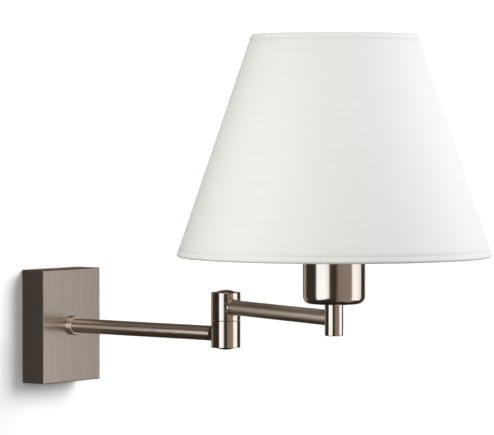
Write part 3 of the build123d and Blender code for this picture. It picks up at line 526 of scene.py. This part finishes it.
low_radius, low_height = hoop("shade_bottom_ring")
top_radius, top_height = hoop("shade_top_ring")
shade_low, shade_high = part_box("shade")
head = middle("shade")
roll_radius = (shade_high.x - shade_low.x) / 2 - low_radius
slant = hypot(top_radius - low_radius, top_height - low_height)
up_slant = Vector(((top_radius - low_radius) / slant, (top_height - low_height) / slant))
outward = Vector((up_slant.y, -up_slant.x))


def on_shade(along, off, turn):
    """A point of the shade: distance up the slant from the lower hoop, distance out, and angle."""
    flat = Vector((low_radius, low_height)) + up_slant * along + outward * off
    return (head.x + flat.x * cos(turn), head.y + flat.x * sin(turn), flat.y)


def eased(share):
    """A smooth step from 0 to 1."""
    share = min(1.0, max(0.0, share))
    return share * share * (3 - 2 * share)


# Slub weave: matt off-white, fine level threads of uneven weight over a closer upright warp. They are
# drawn near 1 mm apart, which is coarser than real ones, so that they show.
slub_weave, tree, shader = start_material("slub_weave_polyester", Roughness=0.85, IOR=1.5)
cloth = add(tree, "UVMap", uv_map="flat_cloth").outputs["UV"]
weft_place = add(
    tree, "Mapping", {"Vector": cloth, "Scale": (per_metre(WEFT_RUN_MM), per_metre(WEFT_MM), 1.0)},
).outputs["Vector"]
warp_place = add(
    tree, "Mapping", {"Vector": cloth, "Scale": (per_metre(WARP_MM), per_metre(WARP_RUN_MM), 1.0)},
).outputs["Vector"]
slub_place = add(
    tree, "Mapping", {"Vector": cloth, "Scale": (per_metre(SLUB_RUN_MM), per_metre(SLUB_MM), 1.0)},
).outputs["Vector"]
weft = add(tree, "TexNoise", {"Vector": weft_place, "Scale": 1.0, "Detail": THREAD_OCTAVES}).outputs["Fac"]
warp = add(tree, "TexNoise", {"Vector": warp_place, "Scale": 1.0, "Detail": THREAD_OCTAVES}).outputs["Fac"]
slub = add(tree, "TexNoise", {"Vector": slub_place, "Scale": 1.0, "Detail": SLUB_OCTAVES}).outputs["Fac"]
threads = add(tree, "Math", {0: weft, 1: slub}, operation="ADD").outputs["Value"]
weave = add(
    tree, "Math", {0: warp, 1: WARP_WEIGHT, 2: threads}, operation="MULTIPLY_ADD",
).outputs["Value"]
weave_share = add(
    tree, "MapRange", {"Value": weave, "From Min": WEAVE_LOWEST, "From Max": WEAVE_HIGHEST},
)
tone = add(
    tree, "Mix", {SHARE: weave_share.outputs["Result"], FROM: linear(CLOTH_DARK), TO: linear(CLOTH_LIGHT)},
    data_type="RGBA",
)
relief = add(tree, "Bump", {"Height": weave, "Strength": WEAVE_SHOWS, "Distance": WEAVE_DEPTH})
feed(tree, shader, Base_Color=tone.outputs[BLEND], Normal=relief.outputs["Normal"])

# Lining film: smooth white styrene with a low sheen, a little cloudy where the adhesive is thicker.
lining_film, tree, shader = start_material("styrene_lining_film", IOR=1.59)
place = add(tree, "TexCoord").outputs["Object"]
glue = add(tree, "TexNoise", {"Vector": place, "Scale": per_metre(PLATE_CLOUD_MM)}).outputs["Fac"]
tone = add(
    tree, "Mix", {SHARE: glue, FROM: linear(LINING_DARK), TO: linear(LINING_LIGHT)}, data_type="RGBA",
)
sheen = add(tree, "MapRange", {"Value": glue, "To Min": LINING_SMOOTHEST, "To Max": LINING_DULLEST})
feed(tree, shader, Base_Color=tone.outputs[BLEND], Roughness=sheen.outputs["Result"])

mean_radius = (low_radius + top_radius) / 2
lap_turn = LAP_WIDTH / mean_radius
step_turn = LAP_STEP / mean_radius
cover_rows = []
cover_flat = []
for row in range(SHADE_ROWS + 1):
    along = slant * row / SHADE_ROWS
    clear_of_hoops = eased(min(along, slant - along) / HEM_TURN_IN)
    line = []
    flat_line = []
    for column in range(SHADE_COLUMNS + 1):
        wrap = (2 * pi + lap_turn) * column / SHADE_COLUMNS
        lapped = eased((wrap - 2 * pi + step_turn) / step_turn)
        share_left = LAP_LEFT_AT_HOOPS + (1 - LAP_LEFT_AT_HOOPS) * clear_of_hoops
        off = roll_radius - COVER_INSET + LAMINATE * lapped * share_left
        line.append(on_shade(along, off, SEAM_TURN + wrap))
        flat_line.append((wrap * mean_radius, along))
    cover_rows.append(line)
    cover_flat.append(flat_line)
shade_cover = lofted("shade_cover", cover_rows, around=False, uv_rows=cover_flat)
shade_cover.data.materials.append(slub_weave)
shade_cover.data.materials.append(lining_film)
thicken(shade_cover, LAMINATE).material_offset = 1


def hem_tape(name, from_low):
    """A strip of the cloth from its outer edge, round the hoop, to its turned-in inner edge."""
    section = [(HEM_SHOWS - short, roll_radius) for short in (0.0, CUT_EDGE, HEM_SHOWS / 2)]
    for step in range(ROLL_STEPS + 1):
        rolled = HEM_LEAVES_ROLL * step / ROLL_STEPS
        section.append((-roll_radius * sin(rolled), roll_radius * cos(rolled)))
    leave_along, leave_off = section[-1]
    lining_face = roll_radius - COVER_INSET - LAMINATE - HEM_TAPE
    for step in range(1, TURN_IN_STEPS + 1):
        share = step / TURN_IN_STEPS
        reached = leave_along + (HEM_TURN_IN - leave_along) * share
        section.append((reached, leave_off + (lining_face - leave_off) * eased(2 * share)))
    rows = []
    flat_rows = []
    travelled = 0.0
    for place_in_section, (along, off) in enumerate(section):
        if place_in_section:
            before = section[place_in_section - 1]
            travelled += hypot(along - before[0], off - before[1])
        height = along if from_low else slant - along
        turns = [2 * pi * column / SHADE_COLUMNS for column in range(SHADE_COLUMNS + 1)]
        rows.append([on_shade(height, off, SEAM_TURN + turn) for turn in turns])
        flat_rows.append([(turn * mean_radius, travelled) for turn in turns])
    if not from_low:
        rows = rows[::-1]
        flat_rows = flat_rows[::-1]
    hem = lofted(name, rows, around=False, uv_rows=flat_rows)
    hem.data.materials.append(slub_weave)
    thicken(hem, HEM_TAPE, offset=1.0)
    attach(hem, "swing_arm")
    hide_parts("shade")
    return hem


low_hem = hem_tape("shade_low_hem", from_low=True)
top_hem = hem_tape("shade_top_hem", from_low=False)
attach(shade_cover, "swing_arm")
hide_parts("shade")


# Wall and floor: the plain set that the lamp is shown on, white to the camera and grey to the lamp,
# so that little light comes back off it. Matt paint on board.
# The wall takes the lamp's soft shadow and is open from behind.
WHITE = "#FFFFFF"
WALL_PAINT = "#808080"
FLOOR_PAINT = "#A9A9A8"
SET_HALF_WIDTH = 4.0
FLOOR_HEIGHT = -0.5
WALL_BEHIND = 0.5 * MM
WALL_TOP = 3.0


def set_board(name, corners, material):
    """A flat board of the set, which metal doesn't mirror."""
    mesh = bpy.data.meshes.new(name)
    mesh.from_pydata(corners, [], [(0, 1, 2, 3)])
    mesh.materials.append(material)
    board = placed(name, mesh)
    board.visible_glossy = False
    return board


def set_paint(name, hex_colour):
    """Matt paint that the camera sees as white, and that is clear from behind."""
    material, tree, shader = start_material(name)
    tree.nodes.remove(shader)
    camera_ray = add(tree, "LightPath").outputs["Is Camera Ray"]
    colour = add(
        tree, "Mix", {SHARE: camera_ray, FROM: linear(hex_colour), TO: linear(WHITE)}, data_type="RGBA",
    )
    front = add(tree, "BsdfDiffuse", {"Color": colour.outputs[BLEND]}).outputs["BSDF"]
    behind = add(tree, "NewGeometry").outputs["Backfacing"]
    clear = add(tree, "BsdfTransparent").outputs["BSDF"]
    both = add(tree, "MixShader", {0: behind, 1: front, 2: clear}).outputs["Shader"]
    tree.links.new(both, tree.nodes["Material Output"].inputs["Surface"])
    return material


wall_board = set_board(
    "wall_board",
    [(-SET_HALF_WIDTH, WALL_BEHIND, FLOOR_HEIGHT), (SET_HALF_WIDTH, WALL_BEHIND, FLOOR_HEIGHT),
     (SET_HALF_WIDTH, WALL_BEHIND, WALL_TOP), (-SET_HALF_WIDTH, WALL_BEHIND, WALL_TOP)],
    set_paint("white_wall_paint", WALL_PAINT),
)
floor_board = set_board(
    "floor_board",
    [(-SET_HALF_WIDTH, -2 * SET_HALF_WIDTH, FLOOR_HEIGHT),
     (SET_HALF_WIDTH, -2 * SET_HALF_WIDTH, FLOOR_HEIGHT),
     (SET_HALF_WIDTH, WALL_BEHIND, FLOOR_HEIGHT), (-SET_HALF_WIDTH, WALL_BEHIND, FLOOR_HEIGHT)],
    set_paint("pale_floor_paint", FLOOR_PAINT),
)


# Dark room: the studio round the set, which shows only as the bands in the metal.
# Dark felt behind the camera and below, warm card on the right, narrow strips of it behind with a dim
# card above them, and a ceiling with a lit patch on the camera's side.
ROOM_RADIUS = 3.0
ROOM_STEP = 3
CAMERA_SIDE = 219
# Tones are given by the angle from the camera's side, and bands by the rise above the level, in degrees.
TONES_ROUND = (
    (-180, 0.27), (-168, 0.27), (-160, 0.09), (-150, 0.09), (-147, 0.55), (-131, 0.55), (-125, 0.06),
    (-92, 0.05), (-70, 0.03), (-12, 0.05), (6, 0.05), (16, 0.33), (55, 0.36), (93, 0.34), (97, 0.04),
    (140, 0.03), (146, 0.3), (160, 0.3), (180, 0.27),
)
TONES_LOW = (
    (-180, 0.03), (-12, 0.05), (6, 0.05), (16, 0.33), (55, 0.36), (93, 0.34), (97, 0.04), (180, 0.03),
)
TONES_ABOVE = (
    (-180, 0.16), (-140, 0.16), (-125, 0.04), (-110, 0.04), (-70, 0.06), (70, 0.06), (110, 0.04),
    (165, 0.04), (180, 0.16),
)
TONES_CEILING = (
    (-180, 0.04), (-110, 0.04), (-70, 0.1), (-45, 1.1), (45, 1.1), (70, 0.1), (110, 0.04), (180, 0.04),
)
TONES_BELOW = ((-180, 0.03), (180, 0.03))
ROOM_BANDS = (
    (-90, TONES_BELOW), (-58, TONES_BELOW), (-55, TONES_LOW), (-28, TONES_LOW), (-24, TONES_ROUND),
    (16, TONES_ROUND), (18, TONES_ABOVE), (42, TONES_ABOVE), (44, TONES_CEILING), (90, TONES_CEILING),
)
DARK_HUE = (1.0, 0.72, 0.52)
LIGHT_HUE = (1.0, 0.85, 0.72)
LIGHT_TONE = 0.33


def between(stops, place):
    """Value at a place along stops of place and value."""
    for (start, first), (end, last) in zip(stops, stops[1:]):
        if start <= place <= end:
            return first + (last - first) * (place - start) / (end - start)
    return stops[-1][1]


def room_colour(tone):
    """A tone of the room with its hue, which is browner where it is darker."""
    share = min(1.0, tone / LIGHT_TONE)
    return (*(tone * (dark + (light - dark) * share) for dark, light in zip(DARK_HUE, LIGHT_HUE)), 1.0)


def direction(turn, rise):
    """Direction from the lamp at an angle round it and a rise above the level, in degrees."""
    level = cos(radians(rise))
    return Vector((cos(radians(turn)) * level, sin(radians(turn)) * level, sin(radians(rise))))


elbow = middle("lower_knuckle")
room_rows = []
room_colours = []
for rise, tones in ROOM_BANDS:
    row = []
    for turn in range(-180, 180, ROOM_STEP):
        row.append(elbow + direction(turn + CAMERA_SIDE, rise) * ROOM_RADIUS)
        room_colours.append(room_colour(between(tones, turn)))
    room_rows.append(row)
dark_room = lofted("dark_room", room_rows, around=True)
tones = dark_room.data.color_attributes.new("room_tones", "FLOAT_COLOR", "POINT")
for painted, colour in zip(tones.data, room_colours):
    painted.color = colour
room_paint, tree, shader = start_material("felt_and_card")
tree.nodes.remove(shader)
shown = add(tree, "VertexColor", layer_name="room_tones").outputs["Color"]
dim = add(tree, "Emission", {"Color": shown, "Strength": 1.0}).outputs["Emission"]
tree.links.new(dim, tree.nodes["Material Output"].inputs["Surface"])
dark_room.data.materials.append(room_paint)
dark_room.visible_camera = False
dark_room.visible_diffuse = False
dark_room.visible_transmission = False
dark_room.visible_shadow = False


# Light: an even white surround, and a key light on the right and a second on the left for the lamp.
# Two broad lights serve the wall and floor alone, one from the right, which throws the soft shadow, and
# one from in front. Softboxes only show in the metal, the left one dimmed for mirrors and the wall box.
FILL = 0.25
# Watts per square metre of a softbox, or of a disc whose radius is a light's distance, for a level of 1.
LAMP_WATTS = 4
# Softboxes: name, both ends in plan, bottom and top in metres, glow and tint.
LEFT_BOX = ("left_softbox", (-0.563, -0.069), (-1.898, -0.831), -0.25, 0.3, 4.8, (1.0, 1.0, 0.99))
NEAR_DIM = ("near_dim_softbox", (-0.563, -0.069), (-1.2, -0.52), -0.33, 0.3, 1.14, (1.0, 1.08, 1.18))
FAR_DIM = ("far_dim_softbox", (-1.2, -0.52), (-1.85, -0.98), -0.33, 0.3, 1.03, (1.0, 1.03, 1.03))
RIGHT_BOX = ("right_softbox", (0.587, -0.68), (0.161, -1.124), -0.4, 0.5, 0.95, (0.97, 1.0, 1.05))
# Lights on the lamp: name, angle and rise in degrees, distance and size in metres, level and tint.
KEY = ("key_light", 292, 17, 0.5, 0.5, 0.68, (0.95, 0.97, 1.03))
SECOND = ("second_light", 177, 14, 0.5, 0.5, 0.565, (1.0, 1.0, 0.95))
# Lights on the set: name, angle, rise and spread in degrees, and strength.
SET_LIGHTS = (("set_light", 305, 23, 38, 2.6), ("set_fill", 262, 15, 140, 1.15))

world = bpy.data.worlds.new("white_surround")
bpy.context.scene.world = world
world.use_nodes = True
tree = world.node_tree
path = add(tree, "LightPath").outputs
mirrored = add(
    tree, "Math", {0: path["Is Glossy Ray"], 1: path["Is Transmission Ray"]}, operation="MAXIMUM",
).outputs["Value"]
seen = add(tree, "Math", {0: path["Is Camera Ray"], 1: mirrored}, operation="MAXIMUM").outputs["Value"]
level = add(tree, "MapRange", {"Value": seen, "To Min": FILL, "To Max": 1.0}).outputs["Result"]
surround = tree.nodes["Background"]
surround.inputs["Color"].default_value = linear(WHITE)
tree.links.new(level, surround.inputs["Strength"])


def turned_to(facing):
    """Turn that points a lamp, which shines along its own -Z, in a direction."""
    return facing.to_track_quat("-Z", "Y").to_matrix().to_4x4()


def flat_lamp(name, place, facing, width, height, watts, tint):
    """A flat rectangular lamp, unseen by the camera itself."""
    light = bpy.data.lights.new(name, "AREA")
    light.shape = "RECTANGLE"
    light.size = width
    light.size_y = height
    light.energy = watts
    light.color = tint
    made = placed(name, light)
    made.matrix_world = Matrix.Translation(place) @ turned_to(facing)
    made.visible_camera = False
    return made


def lit_list(name, pieces, state):
    """Receivers of a light that name some pieces, to be lit alone or to be left out."""
    receivers = bpy.data.collections.new(name)
    for piece in pieces:
        receivers.objects.link(piece)
    for listed in receivers.collection_objects:
        listed.light_linking.link_state = state
    return receivers


dimmed_nodes = [nodes[name] for name in (*BRIGHT_PIECES, "wall_cover")]
arms_alone = lit_list("arms_alone", dimmed_nodes, "EXCLUDE")
dimmed_alone = lit_list("dimmed_alone", dimmed_nodes, "INCLUDE")
for (name, start, end, bottom, top, glow, tint), lit in (
    (LEFT_BOX, arms_alone), (NEAR_DIM, dimmed_alone), (FAR_DIM, dimmed_alone), (RIGHT_BOX, None),
):
    run = Vector((end[0] - start[0], end[1] - start[1], 0))
    centre = Vector(((start[0] + end[0]) / 2, (start[1] + end[1]) / 2, (bottom + top) / 2))
    facing = Vector((run.y, -run.x, 0)).normalized()
    if facing.dot(elbow - centre) < 0:
        facing = -facing
    area = run.length * (top - bottom)
    softbox = flat_lamp(name, centre, facing, run.length, top - bottom, LAMP_WATTS * area * glow, tint)
    softbox.visible_diffuse = False
    softbox.light_linking.receiver_collection = lit

lamp_alone = lit_list("lamp_alone", (wall_board, floor_board), "EXCLUDE")
for name, turn, rise, distance, size, level, tint in (KEY, SECOND):
    towards = direction(turn, rise)
    watts = LAMP_WATTS * pi * distance**2 * level
    shade_light = flat_lamp(name, head + towards * distance, -towards, size, size, watts, tint)
    shade_light.visible_glossy = False
    shade_light.light_linking.receiver_collection = lamp_alone
set_alone = lit_list("set_alone", (wall_board, floor_board), "INCLUDE")
for name, turn, rise, spread, strength in SET_LIGHTS:
    broad = bpy.data.lights.new(name, "SUN")
    broad.energy = strength
    broad.angle = radians(spread)
    set_light = placed(name, broad)
    set_light.matrix_world = turned_to(-direction(turn, rise))
    set_light.light_linking.receiver_collection = set_alone


# Camera: a long lens in front of the lamp, to its left and a little above the wall box.
# Its place, direction and lens were fitted to the edges of the lamp in the photograph.
CAMERA_PLACE = Vector((-2.0012, -1.8093, 0.1811))
CAMERA_YAW = radians(51.598)
CAMERA_PITCH = -0.03189
CAMERA_ROLL = radians(0.008)
CAMERA_LENS = 220.18
SENSOR_WIDTH = 36.0
SEES_AS_FAR_AS = 100.0

ahead = Vector((
    sin(CAMERA_YAW) * cos(CAMERA_PITCH), cos(CAMERA_YAW) * cos(CAMERA_PITCH), sin(CAMERA_PITCH),
))
level_right = ahead.cross(Vector((0, 0, 1))).normalized()
level_up = level_right.cross(ahead)
right = level_right * cos(CAMERA_ROLL) + level_up * sin(CAMERA_ROLL)
up = level_up * cos(CAMERA_ROLL) - level_right * sin(CAMERA_ROLL)
camera_data = bpy.data.cameras.new("camera")
camera_data.lens = CAMERA_LENS
camera_data.sensor_width = SENSOR_WIDTH
camera_data.sensor_fit = "HORIZONTAL"
camera_data.clip_end = SEES_AS_FAR_AS
camera = placed("camera", camera_data)
turned = Matrix((right, up, -ahead)).transposed().to_4x4()
camera.matrix_world = Matrix.Translation(CAMERA_PLACE) @ turned
bpy.context.scene.camera = camera
bpy.context.scene.view_settings.view_transform = "Standard"

bpy.context.view_layer.update()
